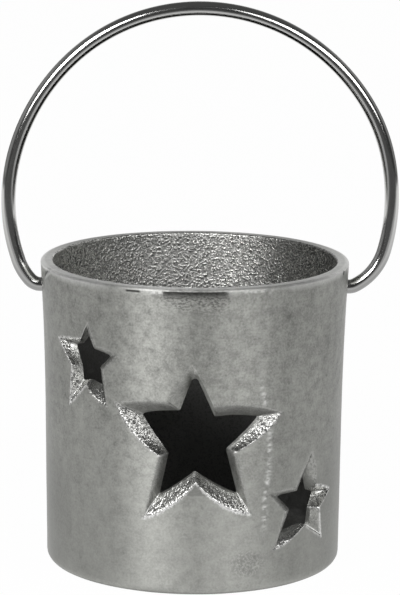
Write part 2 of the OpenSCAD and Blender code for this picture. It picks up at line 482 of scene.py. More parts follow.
# How each star was cut: its corners and sides as above, points along a side and across its bevel, height of
# its grain, height of its creases, depth of each side as a share of the wall, bulge of each outer edge,
# bluntness of each corner of the opening, and radius of the top point on the wall and in the hollow.
BIG_CUT = dict(
    corners=BIG_CORNERS, sides=BIG_SIDES, steps=60, rows=16, grain=0.13, fold=0.4,
    sink=(1, 1, 1, 1, 0.76, 0.85, 1, 0.82, 1, 1),
    bow=(0, 0, 1.2, 0, 0.8, 1.2, 0, 1.0, 0, 0),
    blunt=(0, 0, 0, 0, 0, 0, 0, 0, 0, 0),
    tip_round={0: 0.6, -1: 1.15},
)
LEFT_CUT = dict(
    corners=LEFT_CORNERS, sides=LEFT_SIDES, steps=36, rows=12, grain=0.11, fold=0.2,
    sink=(1, 1, 1, 1, 1, 1, 1, 1, 1, 1),
    bow=(0, 0, 0, 0, 0, 1.0, 0, 0, 0, 0),
    blunt=(0, 0, 0, 0.1, 0.1, 0.5, 0.1, 0, 0.4, 0),
    tip_round={0: 0, -1: 0},
)
RIGHT_CUT = dict(
    corners=RIGHT_CORNERS, sides=RIGHT_SIDES, steps=36, rows=12, grain=0.11, fold=0.2,
    sink=(1, 1, 1, 1, 0.8, 1, 0.8, 1, 1, 1),
    bow=(0, 0, 0, 0, 0.6, 0, 0, 0, 0, 1.2),
    blunt=(0, 0, 0.4, 0, 0.1, 0.5, 0.1, 0.1, 0.1, 0),
    tip_round={0: 0, -1: 0},
)
# The line on the wall where the two halves of the mould met: around the cup and up, in millimetres.
MOULD_LINE = (
    (20.5, 84.0), (18.9, 66.0), (19.0, 58.6), (20.0, 54.0),
    (21.8, 45.5), (21.8, 34.3), (20.7, 27.7), (20.4, 12.0),
)
# A gouge beside the left pin, likewise.
GOUGE = ((-49.8, 85.0), (-52.2, 84.1), (-54.6, 82.7))


def line_points(line, step):
    """Even points along a line on the wall."""
    line = np.array(line)[::-1]
    z = np.arange(line[0, 1], line[-1, 1], step)
    return np.stack([np.interp(z, line[:, 1], line[:, 0]), z], 1)


def star_band(shell, form, star, waist):
    """Adds the bevel around one star, and returns its outlines on the wall and in the hollow."""
    corner = np.arange(10)
    reach = np.where(corner % 2 == 0, star.tip, star.tip * waist)
    way = np.radians(90 + 36 * corner) - star.lean
    flat = np.stack([reach * np.cos(way), reach * np.sin(way)], 1)
    side = flat[1] - flat[0]
    opening = 1 - star.bevel * np.linalg.norm(side) / abs(flat[0, 0] * side[1] - flat[0, 1] * side[0])
    cut = np.array(star.corners)
    # How wide the blunt corners, the folds, the creases and the bright outer edges are.
    blunt_w, fold_w, crease_w, lip_w = 3.4, 0.4, 0.45, 0.42

    def wrapped(radius, p):
        z = star.z + p[:, 1]
        return form.place(radius(z), (star.turn + p[:, 0] / radius(star.z)) * REF, z)

    outer = wrapped(form.wall_r, flat + cut[:, :2])
    inner = wrapped(form.hollow_r, opening * flat + cut[:, 2:])
    after = np.roll(corner, -1)
    ways = outer - inner

    count = star.steps
    u = np.arange(count) / count
    mix = u[None, :, None]
    start = ((1 - mix) * outer[:, None] + mix * outer[after][:, None]).reshape(-1, 3)
    along = ((1 - mix) * ways[:, None] + mix * ways[after][:, None]).reshape(-1, 3)
    at_wall = form.meet(form.wall_r, start, along)
    at_hollow = form.meet(form.hollow_r, start, along)
    t = np.linspace(0, 1, star.rows + 1) ** 1.35
    reach = at_wall[:, None] + (at_hollow - at_wall)[:, None] * t
    spots = start[:, None] + reach[..., None] * along[:, None]
    around = around_of(spots)
    z = spots[..., 2]
    in_from_wall = form.wall_r(z) - np.hypot(spots[..., 0], spots[..., 1])
    depth = in_from_wall / (form.wall_r(z) - form.hollow_r(z))

    # Distances along each side from its first corner and to its next one.
    long = np.linalg.norm(outer[after] - outer, axis=1)[:, None]
    from_start, to_end = (u * long).ravel(), ((1 - u) * long).ravel()

    def at_corners(values, width):
        """A value at each corner, fading along the sides within a width."""
        values = np.asarray(values, float)
        here, there = np.repeat(values, count), np.repeat(np.roll(values, -1), count)
        return np.maximum(here * bell(from_start, width), there * bell(to_end, width))

    def along_loop(values):
        """A value for each side, eased where two sides meet."""
        values = np.repeat(np.asarray(values, float), count)
        return sum(np.roll(values, k) for k in range(-3, 4))[:, None] / 7

    def round_off(loop, eased_loop, tip, radius):
        """Puts the points near the top corner of a loop on an arc that meets both of its sides."""
        if not radius:
            return eased_loop[tip]
        corner = loop[0]
        legs = [leg / np.linalg.norm(leg) for leg in (loop[-8] - corner, loop[8] - corner)]
        middle = (legs[0] + legs[1]) / np.linalg.norm(legs[0] + legs[1])
        half = math.acos(legs[0] @ middle)
        long = np.linalg.norm(loop[1] - corner)
        steps = np.where(tip < len(loop) / 2, tip, tip - len(loop))
        swing = (math.pi / 2 - half) * np.clip(steps * long * math.tan(half) / radius, -1, 1)
        cross = legs[1] - (legs[1] @ middle) * middle
        cross /= np.linalg.norm(cross)
        arc = corner + middle * radius / math.sin(half)
        arc = arc + radius * (np.sin(swing)[:, None] * cross - np.cos(swing)[:, None] * middle)
        beyond = np.abs(steps) * long * math.tan(half) > radius
        return np.where(beyond[:, None], loop[tip], arc)

    # Corners of the opening are rounded off, some more than others, and so is the top point.
    tip = np.concatenate([np.arange(count // 2), np.arange(-(count // 2), 0) + 10 * count])
    blunt = np.clip(0.03 + at_corners(star.blunt, blunt_w), 0, 1)[:, None]
    moved = []
    for k, rounds in ((0, 0), (-1, 220)):
        loop = np.stack([around[:, k], z[:, k]], 1)
        eased_loop = loop.copy()
        for _ in range(rounds):
            middle = (np.roll(eased_loop, 1, axis=0) + np.roll(eased_loop, -1, axis=0)) / 2
            eased_loop += 0.6 * blunt * (middle - eased_loop)
        eased_loop[tip] = round_off(loop, eased_loop, tip, star.tip_round[k])
        moved.append(eased_loop - loop)
    # Some outer edges bulge away from the star.
    chord = np.stack([around[::count, 0], z[::count, 0]], 1)
    chord = np.roll(chord, -1, axis=0) - chord
    away = np.stack([chord[:, 1], -chord[:, 0]], 1) / np.linalg.norm(chord, axis=1)[:, None]
    bulge = np.asarray(star.bow, float)[:, None] * 4 * u * (1 - u)
    moved[0] = moved[0] + (bulge[..., None] * away[:, None]).reshape(-1, 2)
    moved = moved[0][:, None] * (1 - t)[:, None] + moved[1][:, None] * t[:, None]
    around = around + moved[..., 0]
    z = z + moved[..., 1]

    roll = np.array([s[0] for s in star.sides])
    low, mid, high = (roll[:, k : k + 1] for k in range(3))
    soft = low * (1 - u) * (1 - 2 * u) + mid * 4 * u * (1 - u) + high * u * (2 * u - 1)
    soft = soft.reshape(-1, 1)
    # A bright outer edge is a rounded one.
    bend = along_loop([0.06 + 0.15 * side[2] for side in star.sides])
    depth = np.clip(depth, 0, 1)
    depth = np.where(depth < bend, depth**2 / (2 * bend), depth - bend / 2) / (1 - bend / 2)
    depth = depth ** (1 + 2 * soft)
    sink = along_loop(star.sink)
    depth[:, :-1] *= sink
    fold = at_corners([side[3] * (k % 2 == 0) for k, side in enumerate(star.sides)], fold_w)[:, None]
    fold = fold * (eased(t, 0, 0.15) * (1 - eased(t, 0.8, 1)))[None, :]
    radius = form.wall_r(z) * (1 - depth) + form.hollow_r(z) * depth + star.fold * fold
    spots = form.place(radius, around, z)

    raw, lip, shine = (np.repeat([s[k] for s in star.sides], count)[:, None] for k in (1, 2, 4))
    edge = eased(t, 0.05, 0.22)[None, :] * (1 - 0.6 * eased(t, 0.65, 1.0))[None, :]
    flecks = np.clip(0.9 + 0.8 * grain(spots[:, 0], 1.3, 2, 5.1), 0, 1)[:, None]
    line = lip * flecks * bell(t * star.bevel, lip_w)[None, :]
    crease = at_corners([s[3] for s in star.sides], crease_w)[:, None] * (1 - 0.3 * t)[None, :]
    ids = shell.add(
        spots,
        rough=star.grain * raw * edge,
        cast=np.clip(0.15 + 1.1 * raw, 0, 1) * (1 - 0.5 * eased(t, 0.6, 0.85))[None, :],
        # Painted shade over sides given below 0; bright edges and creases, partly ground and partly painted
        # highlight; and painted highlight over sides given above 0.
        dull=np.clip(-shine, 0, 1) * eased(t, 0, 0.25)[None, :],
        polish=np.clip(np.maximum(np.maximum(line, crease * flecks), shine), 0, 1),
    )
    shell.strip(ids.T)
    shell.crease(ids[:, 0], ((raw[:, 0] > 0.3) | (soft[:, 0] < 0.1)) & (lip[:, 0] < 0.3))
    shell.crease(ids[:, -2], sink[:, 0] < 0.9)
    shell.crease(ids[:, -1])
    return [(np.stack([around[:, k], z[:, k]], 1), ids[:, k]) for k in (0, -1)]


def pin_hole(shell, form, side, pin_z, hole_r):
    """Adds the bore for one pin, and returns its outlines on the wall and in the hollow."""
    mouth = 0.5
    a = np.linspace(0, 2 * math.pi, 40, endpoint=False)
    y = side * hole_r * np.cos(a)
    z = pin_z + hole_r * np.sin(a)
    rows = []
    for radius in (form.wall_r(z), form.wall_r(z) - mouth, form.hollow_r(z) + mouth, form.hollow_r(z)):
        x = side * np.sqrt(radius**2 - y**2)
        rows.append(np.stack([x, y, z], 1))
    ids = [shell.add(row, cast=0.6) for row in rows]
    shell.strip(ids)
    loops = []
    for k in (0, -1):
        loops.append((np.stack([around_of(rows[k]), z], 1), ids[k]))
        shell.crease(ids[k])
    return loops


def wall_sheet(shell, form, radius, bottom, top, holes, lines, levels, flip, **marks):
    """Fills a wall between two rings around its holes, with closer points by the holes and the lines."""
    seam_step = 1.2
    margin = 0.2
    wide = math.pi * REF
    a = np.linspace(-wide, wide, TURN + 1)
    low, high = shell.spots[bottom[0], 2], shell.spots[top[0], 2]
    seam_z = np.linspace(low, high, round((high - low) / seam_step))[1:-1]
    seam = shell.add(form.place(radius(seam_z), np.full(len(seam_z), -wide), seam_z), **marks)
    edge = np.concatenate([
        np.stack([a, np.full(len(a), low)], 1),
        np.stack([np.full(len(seam_z), wide), seam_z], 1),
        np.stack([a[::-1], np.full(len(a), high)], 1),
        np.stack([np.full(len(seam_z), -wide), seam_z[::-1]], 1),
    ])
    edge_ids = np.concatenate([bottom, bottom[:1], seam, top[:1], top[::-1], seam[::-1]])
    loops = [flat for flat, _ in holes]
    points = []
    for step, near, far, z_from, z_to in levels:
        spread = lattice(low, high, step)
        spread = spread[(spread[:, 1] >= z_from) & (spread[:, 1] < z_to)]
        away = distances(spread, loops + lines)
        points.append(spread[(away >= near) & (away < far)])
    points += lines
    for loop in loops:
        points = [p[~within(p, loop)] for p in points]
    points = np.concatenate(points)
    points = points[(points[:, 1] > low + margin) & (points[:, 1] < high - margin)]
    ids = shell.add(form.place(radius(points[:, 1]), points[:, 0], points[:, 1]), **marks)
    everything = np.concatenate([edge_ids, *[i for _, i in holes], ids])
    shell.fill([edge, *loops], points, everything, flip)


def cup_shell(cup, stars, bail):
    """The whole cup, in millimetres."""
    form = Form(cup)
    shell = Shell()
    small = dict(tip=stars.small_r, bevel=stars.small_bevel)
    big = SimpleNamespace(
        turn=stars.big_turn, z=stars.big_z, tip=stars.big_r, bevel=stars.big_bevel, lean=0, **BIG_CUT,
    )
    left = SimpleNamespace(turn=stars.left_turn, z=stars.left_z, lean=0, **small, **LEFT_CUT)
    right = SimpleNamespace(
        turn=stars.right_turn, z=stars.right_z, lean=stars.right_lean, **small, **RIGHT_CUT,
    )
    holes = [star_band(shell, form, star, stars.waist) for star in (big, left, right)]
    pin_z = cup.cup_h - bail.pin_drop
    hole_r = (bail.wire_d + bail.pin_play) / 2
    holes += [pin_hole(shell, form, side, pin_z, hole_r) for side in (-1, 1)]

    inside = dict(rough=cup.cast_grain, cast=1.0, inside=1.0)
    outside = dict(sway=1.0)
    base = [shell.ring(r, z, **outside) for r, z in form.outside_rows()]
    rim_rows = form.rim_rows()
    lip_rows = 4
    # How bright each row of the rim is at the front, and how much more or less it is at the sides: partly
    # the rim's polish, partly painted highlight and painted shade that change around the rim.
    shine = (0.15, 0.25, 0.3, 0.4, 0.6, 0.7, 0.7, 0.7, 0.7, 0.7)
    more = (0.3, 0.6, 0.6, 0.5, 0.2, 0, -0.3, -0.3, -0.3, -0.3)
    far = np.abs(full_turn()) * REF
    rim = []
    for k, (r, z) in enumerate(rim_rows[:-lip_rows]):
        side = eased(far, 21, 30) if more[k] > 0 else eased(far, 36, 52)
        rim.append(shell.ring(r, z, sway=0.5, polish=shine[k] + more[k] * side))
    rim += [shell.ring(r, z, **inside) for r, z in rim_rows[-lip_rows:]]
    floor = [shell.ring(r, z, **inside) for r, z in form.floor_rows()]
    shell.strip(base)
    shell.strip(rim)
    shell.strip(floor)
    shell.fan(base[0], shell.add([[0, 0, 0]], **outside)[0], flip=True)
    shell.fan(floor[-1], shell.add([[0, 0, cup.floor_t]], **inside)[0])
    top = cup.cup_h
    # Each level of the skin: how far apart its points are, how far off a hole or line, and its heights.
    wall_sheet(
        shell, form, form.wall_r, base[-1], rim[0], [hole[0] for hole in holes],
        [line_points(MOULD_LINE, 0.4), line_points(GOUGE, 0.25)],
        [(0.5, 0.35, 2.2, 0, top), (0.9, 2.2, 5.5, 0, top), (1.6, 5.5, 1e9, 0, top)], False, **outside,
    )
    grained = cup.cup_h * 0.78
    wall_sheet(
        shell, form, form.hollow_r, floor[0], rim[-1], [hole[1] for hole in holes], [],
        [(0.5, 0.35, 1.5, 0, top), (1.2, 1.5, 1e9, 0, grained), (0.4, 1.5, 1e9, grained, top)], True,
        **inside,
    )
    return shell


def roughen(shell):
    """Adds the skin's grain and the wall's unevenness, mould line and gouge; returns the grain's height."""
    sway_h, polish_h = 0.055, 0.06
    burr_h, burr_w = 0.1, 0.75
    gouge_d, ridge_h, gouge_w = 0.3, 0.1, 0.4
    out = shell.normals()
    marks = shell.marks
    relief = np.zeros(len(shell.spots))
    cast = np.flatnonzero(marks["rough"] > 0)
    spots = shell.spots[cast]
    relief[cast] = 0.6 * grain(spots, 0.95, 2) + 0.6 * grain(spots, 0.5, 2, 31.7)
    wall = np.flatnonzero(marks["sway"] > 0)
    spots = shell.spots[wall]
    lift = marks["rough"] * relief + polish_h * marks["polish"]
    lift[wall] += marks["sway"][wall] * sway_h * grain(spots, 16, 2, 7.3)
    flat = np.stack([around_of(spots), spots[:, 2]], 1)
    away = distances(flat, [line_points(MOULD_LINE, 0.2)])
    up = flat[:, 1]
    fade = eased(up, 14, 22) * (0.12 + 0.88 * eased(up, 62, 54)) + 0.6 * eased(up, 82.5, 84)
    beads = np.clip(0.25 + 2.2 * grain(spots * (0.6, 0.6, 1.3), 0.9, 2, 3.9), 0, 1)
    burr = bell(away, burr_w) * fade * beads
    lift[wall] += burr_h * burr
    gouge = line_points(GOUGE, 0.1)
    off_line = (distances(flat, [gouge + shift]) for shift in ((0, 0), (0.65, -0.55)))
    trough, ridge = (bell(far, gouge_w) for far in off_line)
    lift[wall] += ridge_h * ridge - gouge_d * trough
    # Painted shade in the gouge's trough, and painted highlight on its ridge and along the mould line's
    # burr.
    marks["dull"][wall] = trough
    marks["polish"][wall] = np.maximum(marks["polish"][wall], np.maximum(0.75 * burr, 0.8 * ridge))
    shell.spots = shell.spots + out * lift[:, None]
    return relief


class Socket:
    """An output of a shader node. Sums on it add Math nodes."""

    def __init__(self, graph, socket):
        self.graph = graph
        self.socket = socket

    def maths(self, operation, *values):
        return self.graph.node("ShaderNodeMath", {"operation": operation}, dict(enumerate(values)))

    def most(self, other):
        return self.maths("MAXIMUM", self, other)

    def __add__(self, other):
        return self.maths("ADD", self, other)

    def __sub__(self, other):
        return self.maths("SUBTRACT", self, other)

    def __rsub__(self, other):
        return self.maths("SUBTRACT", other, self)

    def __mul__(self, other):
        return self.maths("MULTIPLY", self, other)

    def __truediv__(self, other):
        return self.maths("DIVIDE", self, other)

    def __rtruediv__(self, other):
        return self.maths("DIVIDE", other, self)

    def __pow__(self, other):
        return self.maths("POWER", self, other)

    def __rpow__(self, other):
        return self.maths("POWER", other, self)

    def __abs__(self):
        return self.maths("ABSOLUTE", self)

    def __neg__(self):
        return self * -1

    __radd__ = __add__
    __rmul__ = __mul__


class Graph:
    """The node tree of a material or world."""

    def __init__(self, owner):
        owner.use_nodes = True
        self.tree = owner.node_tree
        self.tree.nodes.clear()

    def node(self, kind, settings=None, sockets=None, out=0):
        """Adds a node: its settings are set first, then its sockets get values or links."""
        node = self.tree.nodes.new(kind)
        for key, value in (settings or {}).items():
            setattr(node, key, value)
        for key, value in (sockets or {}).items():
            if isinstance(value, Socket):
                self.tree.links.new(value.socket, node.inputs[key])
            else:
                node.inputs[key].default_value = value
        return Socket(self, node.outputs[out]) if node.outputs else None

    def noise(self, vector, scale, detail=2.0, rough=0.5):
        return self.node("ShaderNodeTexNoise", None, {
            "Vector": vector, "Scale": scale, "Detail": detail, "Roughness": rough,
        })

    def step(self, value, low, high):
        """0 up to low, 1 from high, and a smooth way between them."""
        return self.node("ShaderNodeMapRange", {"interpolation_type": "SMOOTHSTEP"}, {
            "Value": value, "From Min": low, "From Max": high,
        })

    def blend(self, factor, first, second):
        """A colour between two colours."""
        return self.node("ShaderNodeMix", {"data_type": "RGBA"}, {0: factor, 6: first, 7: second}, out=2)

    def stretch(self, vector, x, y, z):
        """A vector with each of its parts scaled."""
        return self.node("ShaderNodeVectorMath", {"operation": "MULTIPLY"}, {0: vector, 1: (x, y, z)})

    def scaled(self, colour, factor):
        """A colour made lighter or darker."""
        return self.node("ShaderNodeVectorMath", {"operation": "SCALE"}, {0: colour, "Scale": factor})

    def parts(self, vector):
        """The three parts of a vector."""
        first = self.node("ShaderNodeSeparateXYZ", None, {0: vector})
        return [Socket(self, part) for part in first.socket.node.outputs]

    def place(self, kind="Object"):
        """Where a point is, in coordinates of a kind."""
        return self.node("ShaderNodeTexCoord", None, None, kind)

    def mark(self, name, out="Fac"):
        """A mark kept on the points of the mesh."""
        return self.node("ShaderNodeAttribute", {"attribute_name": name}, None, out)

    def metal(self, body, rough, height, **more):
        """Bare metal with a relief in millimetres."""
        bump = self.node("ShaderNodeBump", None, {"Strength": 1.0, "Distance": MM, "Height": height})
        return self.node("ShaderNodeBsdfPrincipled", None, {
            "Base Color": body, "Metallic": 1.0, "Roughness": rough, "Normal": bump, **more,
        })


def rgba(colour):
    return (*colour, 1.0)


def cast_metal(colours):
    """Cast aluminium: satin where it was ground outside, with the sand's grain left elsewhere."""
    material = bpy.data.materials.new("cast_aluminium")
    g = Graph(material)
    spot = g.stretch(g.place(), 1 / MM, 1 / MM, 1 / MM)
    x, y, z = g.parts(spot)
    around = x.maths("ARCTAN2", x, -y) * REF
    marks = ("cast", "polish", "dull", "relief", "inside")
    cast, polish, dull, relief, inside = (g.mark(name) for name in marks)

    cloud = g.noise(g.stretch(spot, 1, 1, 0.6), 0.06, 3)
    mottle = g.noise(spot, 0.34, 4, 0.6)
    speck = g.noise(spot, 1.7, 3, 0.65)
    lines = g.noise(g.stretch(spot, 0.12, 0.12, 1.6), 1.0, 2)
    spots = g.step(g.noise(spot, 0.6, 2, 0.5), 0.40, 0.28)
    sand = g.noise(spot, 1.6, 2, 0.6)
    low = inside * g.step(z, 68, 60)

    # Under the front rim, a patch where the casting skin was not ground away, with a painted shadow strip
    # at its top, painted glints on burrs at the strip's ends, and painted shade at nicks left of it and
    # towards the right pin. Lower down, darker patches low on both sides, a smudge by the foot, and painted
    # shade on a flat below the big star.
    outside = 1 - inside
    ragged = (mottle - 0.5) * 3 + (speck - 0.5) * 3
    # Painted shadow: a dark strip just under the rim at the front.
    strip = g.step(abs(around) + ragged * 0.4, 9.2, 7.8) * g.step(z + ragged * 0.4, 82.2, 84.4) * outside
    strip = strip * g.step(z, 84.8, 84.6)
    grit = g.step(g.noise(g.stretch(spot, 0.7, 0.7, 1.5), 1.5, 2, 0.7), 0.6, 0.4)
    high = g.step(z, 79, 83.5)
    missed = g.step(abs(around - 2 + high * 2.5) + ragged - high * 2, 10, 4)
    missed = missed * g.step(z + ragged * 0.6, 76.5, 82) * grit * outside
    missed = missed.most(strip)
    # Painted shade where the rim is nicked; the nicks themselves are not shaped.
    nick_shade = g.step(abs(z - 84.25), 0.45, 0.15) * g.step(abs(around + 16.6), 2.6, 1.6) * outside
    nick_shade = nick_shade + g.step((around - 53.2) ** 2 + (z - 84.2) ** 2, 0.7, 0.15) * outside
    flecks = g.step(g.noise(g.stretch(spot, 0.5, 0.5, 0.2), 1.0, 2, 0.6), 0.47, 0.56)
    # Painted glints on burrs at the rim's edge.
    burr_glints = g.step(abs(z - 84.3), 0.5, 0.2) * g.step(abs(abs(around - 3.5) - 13.5), 5.5, 4)
    burr_glints = burr_glints * flecks * outside * 0.45 * (1 - strip) * (1 - nick_shade)
    # Darker mottled patches low on both sides.
    low_side_dark = g.step(((abs(around) - 54) / 15) ** 2 + ((z - 17) / 20) ** 2, 1.4, 0.2) * (0.3 + mottle)
    smudge = g.step(((around - 15.5) / 5.5) ** 2 + ((z - 8.5) / 4) ** 2, 1.3, 0.1)
    smudge = smudge * g.step(speck + ragged * 0.1, 0.7, 0.4)
    # Painted shade on a shallow flat below the big star.
    flat = g.step(abs(around - 0.8) - (31.8 - z), 0.5, -0.5) * g.step(z, 27.9, 28.6)

    patchy = (mottle - 0.5) * 0.9 + (speck - 0.5) * 0.9 + (lines - 0.5) * 0.16 - spots * 0.13
    tone = 0.74 + cloud * 0.42 + patchy * (0.6 + g.step(z, 8, 60) * 0.5)
    tone = tone * (1 - strip * 0.75) * (1 - missed * (0.1 + grit * 0.4)) * (1 - nick_shade * 0.8)
    # Darker patches low on both sides, painted shade on the flat below the big star, and painted shade on
    # dull star sides and in the gouge's trough.
    tone = tone * (1 - low_side_dark * 0.16) * (1 - flat * 0.3) * (1 - dull)
    # Painted shade along the bottom edge of the foot, and a smudge by the foot.
    tone = tone * (1 - g.step(z, 1.2, 0.5) * outside * 0.3) * (1 - smudge * outside * 0.25)
    satin = g.scaled(tuple(colours.satin), tone)
    # Polished places turn bright, partly real polish and partly painted highlight.
    shiny = polish * (1 - strip) * (1 - nick_shade) * (0.4 + mottle * 0.6 + speck * 0.6)
    satin = g.blend(shiny.most(burr_glints), satin, rgba(colours.bright))
    hollow = g.step(relief * 0.6 + (sand - 0.5) * 3.6, 0.15, -0.45)
    # Painted light on the left half of the inside and painted shade on its right.
    side = 1 + inside * (g.step(-x, 18, 32) * 0.8 - g.step(x, 14, 28) * 0.25)
    raw = g.scaled(g.blend(inside, rgba(colours.raw), rgba(colours.lining)), side)
    # Bright edges of the skin, partly ground and partly painted highlight.
    raw = g.blend(polish, raw, rgba(colours.bright))
    worn = polish * polish
    # Painted shade in the hollows of the grain, less in the middle of the inside.
    pit_shading = hollow * (0.85 - inside * 0.35 * g.step(abs(x), 34, 20)) * (1 - worn * worn * 0.8)
    raw = g.blend(pit_shading, raw, rgba(colours.pit_shade))
    # Painted shade on dull star sides and in the gouge's trough.
    raw = g.blend(dull, raw, rgba(colours.pit_shade))
    # Soot and painted shade on the lower inside, lighter towards the right.
    sooty_shade = g.scaled(tuple(colours.soot_and_shade), 0.57 + g.step(x, 12, 26) * 0.27)
    raw = g.blend(low, raw, sooty_shade)

    rough = 0.52 + (mottle - 0.5) * 0.12 + (speck - 0.5) * 0.12 + missed * 0.06
    height = speck * 0.02 + missed * speck * 0.08
    ground = g.metal(satin, rough, height, **{"Anisotropic": 0.7, "Anisotropic Rotation": 0.25})
    rough = (0.24 + hollow * 0.25) * (1 - polish * 0.3) + polish * 0.16 + low * 0.3
    height = sand * (0.2 + inside * 0.1 - low * 0.26) * (1 - worn * 0.6)
    skin = g.metal(raw, rough, height)
    surface = g.node("ShaderNodeMixShader", None, {0: cast, 1: ground, 2: skin})
    g.node("ShaderNodeOutputMaterial", None, {"Surface": surface})
    return material


def wire_metal(colours):
    """Polished wire with faint drawing lines along it."""
    material = bpy.data.materials.new("polished_wire")
    g = Graph(material)
    drawn = g.mark("drawn", "Vector")
    lines = g.noise(g.stretch(drawn, 2.2, 2.2, 0.03), 1.0, 3, 0.6)
    smears = g.noise(g.stretch(drawn, 0.4, 0.4, 0.12), 1.0, 3, 0.6)
    # Painted shade: the underside of the lower arms is darker.
    facing = g.parts(g.place("Normal"))[2]
    height = g.parts(g.place())[2]
    under = g.step(facing, 0.1, -0.4) * g.step(height, 0.13, 0.1)
    tone = (0.86 + lines * 0.14 + smears * 0.12) * (1 - under * 0.5)
    body = g.scaled(tuple(colours.wire), tone)
    rough = 0.07 + lines * 0.06 + smears * 0.06
    g.node("ShaderNodeOutputMaterial", None, {"Surface": g.metal(body, rough, lines * 0.006)})
    return material


def bail_line(cup, bail):
    """Middle line of the wire from the right pin over the bow to the left pin, and directions outwards."""
    pin_step = 0.7
    form = Form(cup)
    pin_z = cup.cup_h - bail.pin_drop
    heel_x = form.wall_r(pin_z) + bail.heel_gap
    tip_x = form.hollow_r(pin_z) - bail.pin_reach
    bow_r = heel_x + bail.bow_out
    rise = math.sqrt((bow_r - bail.heel_r - bail.shoulder_draw) ** 2 - (heel_x + bail.bow_shift) ** 2)
    bow = np.array([bail.bow_shift, bail.heel_r + rise])
    arcs = {}
    for side in (1, -1):
        heel = np.array([side * heel_x, bail.heel_r])
        far = np.linalg.norm(heel - bow)
        way = (heel - bow) / far
        reach = bow_r - bail.shoulder_r
        along = (reach**2 - (bail.shoulder_r - bail.heel_r) ** 2 + far**2) / (2 * far)
        off = math.sqrt(reach**2 - along**2)
        shoulder = bow + along * way + side * off * np.array([-way[1], way[0]])
        turns = [math.atan2(*(b - a)[::-1]) for a, b in ((bow, shoulder), (shoulder, heel))]
        if side < 0:
            turns = [t % (2 * math.pi) for t in turns]
        arcs[side] = (heel, shoulder, turns)
    heel, shoulder, (bow_from, shoulder_from) = arcs[1]
    left_heel, left_shoulder, (bow_to, shoulder_to) = arcs[-1]
    bends = [
        (heel, bail.heel_r, -math.pi / 2, shoulder_from, 0.35),
        (shoulder, bail.shoulder_r, shoulder_from, bow_from, 0.6),
        (bow, bow_r, bow_from, bow_to, 0.8),
        (left_shoulder, bail.shoulder_r, bow_to, shoulder_to, 0.6),
        (left_heel, bail.heel_r, shoulder_to, 1.5 * math.pi, 0.35),
    ]
    pin = np.arange(tip_x, heel_x, pin_step)
    line = [np.stack([pin, 0 * pin], 1)]
    away = [np.tile([0.0, -1.0], (len(pin), 1))]
    for centre, radius, first, last, step in bends:
        angles = np.linspace(first, last, max(3, round(radius * (last - first) / step)))[:-1]
        out = np.stack([np.cos(angles), np.sin(angles)], 1)
        if centre is bow:
            # The bow is a little flat at the upper left and full at the right.
            degrees = np.degrees(angles)[:, None]
            for more, at, wide in ((0.28, 22, 16), (-0.6, 150, 28)):
                radius = radius + more * bell(degrees - at, wide)
        line.append(centre + radius * out)
        away.append(out)
    pin = np.append(np.arange(heel_x, tip_x, -pin_step), tip_x)
    line.append(np.stack([-pin, 0 * pin], 1))
    away.append(np.tile([0.0, -1.0], (len(pin), 1)))
    line = np.concatenate(line)
    away = np.concatenate(away)
    flat = np.zeros(len(line))
    line = np.stack([line[:, 0], flat, line[:, 1] + pin_z], 1)
    return line, np.stack([away[:, 0], flat, away[:, 1]], 1)


def bail_shell(cup, bail, sides=32):
    """The bent wire, in millimetres, and the place of each of its points on the drawn wire."""
    line, away = bail_line(cup, bail)
    shell = Shell()
    radius = bail.wire_d / 2
    ends = 0.35
    turn_of = np.linspace(0, 2 * math.pi, sides, endpoint=False)
    run = np.concatenate([[0], np.cumsum(np.linalg.norm(np.diff(line, axis=0), axis=1))])
    rows = []
    drawn = []
    across = np.array([0.0, 1.0, 0.0])

    def ring(middle, out, r, at):
        spots = middle + r * (np.cos(turn_of)[:, None] * out + np.sin(turn_of)[:, None] * across)
        rows.append(shell.add(spots))
        drawn.append(np.stack([2 * np.cos(turn_of), 2 * np.sin(turn_of), np.full(sides, at)], 1))

    def rounded_end(at, before, steps):
        beyond = (line[at] - line[before]) / np.linalg.norm(line[at] - line[before])
        for back, less in steps:
            ring(line[at] - beyond * ends * back, away[at], radius - ends * less, run[at])

    end_steps = ((0, 1), (0.35, 0.35), (1, 0))
    rounded_end(0, 1, end_steps)
    for k in range(2, len(line) - 2):
        ring(line[k], away[k], radius, run[k])
    rounded_end(-1, -2, end_steps[::-1])
    shell.strip(rows)
    for at, flip in ((0, True), (-1, False)):
        tip = shell.add([line[at]])[0]
        drawn.append(np.array([[0, 0, run[at]]]))
        shell.fan(rows[at], tip, flip)
    return shell, np.concatenate(drawn)


def floor_finish(colours):
    """A pale floor that shows white, with a trace of shadow under what stands on it."""
    material = bpy.data.materials.new("studio_floor")
    g = Graph(material)
    matt = g.node("ShaderNodeBsdfDiffuse", None, {"Color": rgba(colours.floor)})
    x, y, _ = g.parts(g.place())
    rays = ("Is Camera Ray", "Is Glossy Ray", "Is Transmission Ray")
    seen = [g.node("ShaderNodeLightPath", None, None, ray) for ray in rays]
    shown = seen[0].most(seen[1]).most(seen[2])
    # The metal mirrors a floor that is lit around it and behind it, and dim towards the front.
    near = g.step(y, -0.335, -0.325) * g.step(abs(x), 1.12, 1.08)
    tone = 0.08 + near * (0.42 + g.step(y, -0.22, -0.07) * 0.5)
    tone = g.blend(tone.most(seen[0]), (0, 0, 0, 1), (1, 1, 1, 1))
    white = g.node("ShaderNodeEmission", None, {"Color": tone, "Strength": 1.0})
    surface = g.node("ShaderNodeMixShader", None, {0: shown * 0.985, 1: matt, 2: white})
    g.node("ShaderNodeOutputMaterial", None, {"Surface": surface})
    return material


